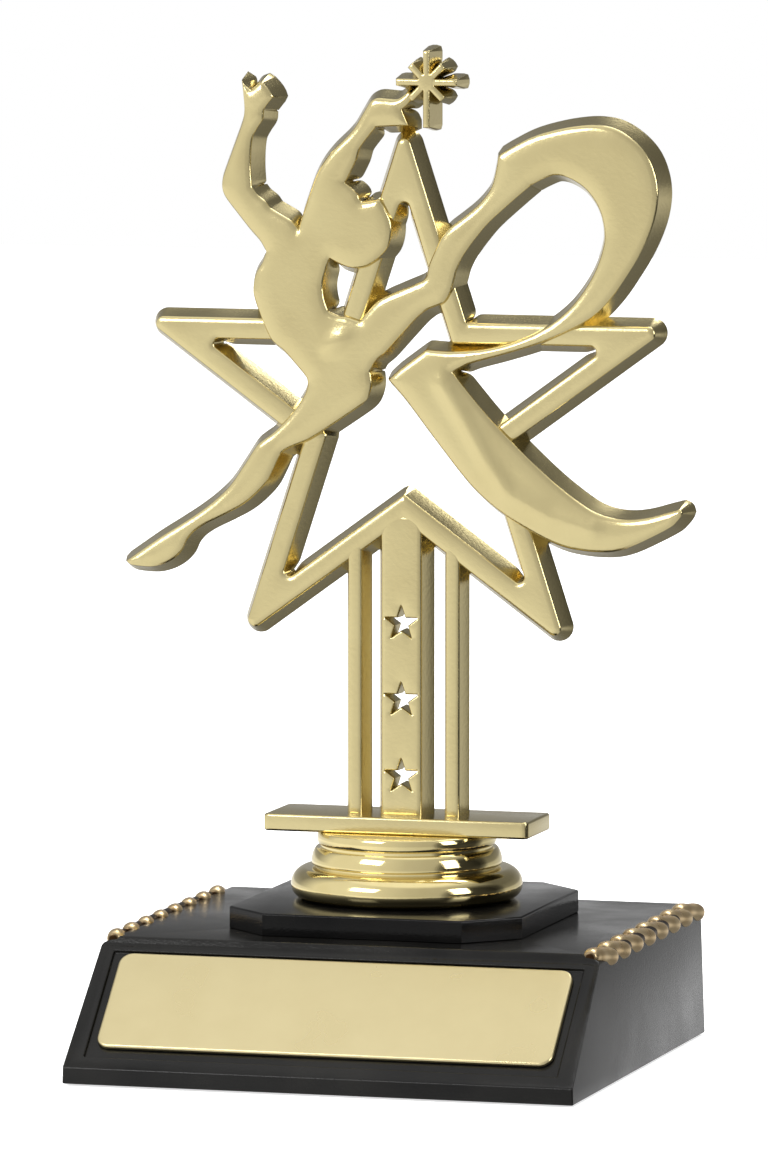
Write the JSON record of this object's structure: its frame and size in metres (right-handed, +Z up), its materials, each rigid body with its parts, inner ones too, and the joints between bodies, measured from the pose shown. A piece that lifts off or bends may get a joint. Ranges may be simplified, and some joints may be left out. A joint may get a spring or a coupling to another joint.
{
  "type": "star trophy",
  "caption": "Gold dancer and ribbon over a star frame on three posts, with a turned collar, a black plinth and a sloped base carrying a blank plate.",
  "frame": {"origin": "on the clamping rod's axis, at the underside of the felt pad the trophy stands on", "axes": "+Z up along the clamping rod and the whole trophy's length; -Y towards the viewer, where the engraving plate faces; +X to the viewer's right"},
  "size_m": [0.0868, 0.0751, 0.1478],
  "materials": {
    "figure_gold": "pale gold metallized moulding, gloss",
    "collar_gold": "gold metallized moulding, mirror gloss",
    "insert_brass": "turned brass",
    "zinc_steel": "bright zinc plate",
    "plinth_black": "black moulding, gloss",
    "base_black": "black moulding, semi-gloss",
    "rope_gold": "antique gold foil over a moulded rope",
    "plate_gold": "gold anodised, satin face",
    "adhesive_white": "double-sided adhesive sheet",
    "ballast_iron": "as cast",
    "felt_green": "pressed felt"
  },
  "bodies": {
    "base": {"base_shell": "base_black", "octagonal_plinth": "plinth_black", "left_rope_trim": "rope_gold", "right_rope_trim": "rope_gold", "engraving_plate": "plate_gold", "plate_adhesive": "adhesive_white", "ballast_plate": "ballast_iron", "ballast_screws": "zinc_steel", "felt_pad": "felt_green"},
    "figure": {"dancer": "figure_gold", "ribbon": "figure_gold", "hand_sparkle": "figure_gold", "star_frame": "figure_gold", "centre_post": "figure_gold", "left_post": "figure_gold", "right_post": "figure_gold", "foot_plate": "figure_gold", "turned_collar": "collar_gold", "insert_nut": "insert_brass", "threaded_rod": "zinc_steel", "lock_nut": "zinc_steel", "clamp_washer": "zinc_steel"}
  },
  "joints": [
    {"name": "figure_turn", "type": "hinge", "parent": "base", "child": "figure", "pos_m": [0, 0, 0.0228], "axis": [0, 0, 1], "continuous": true}
  ]
}
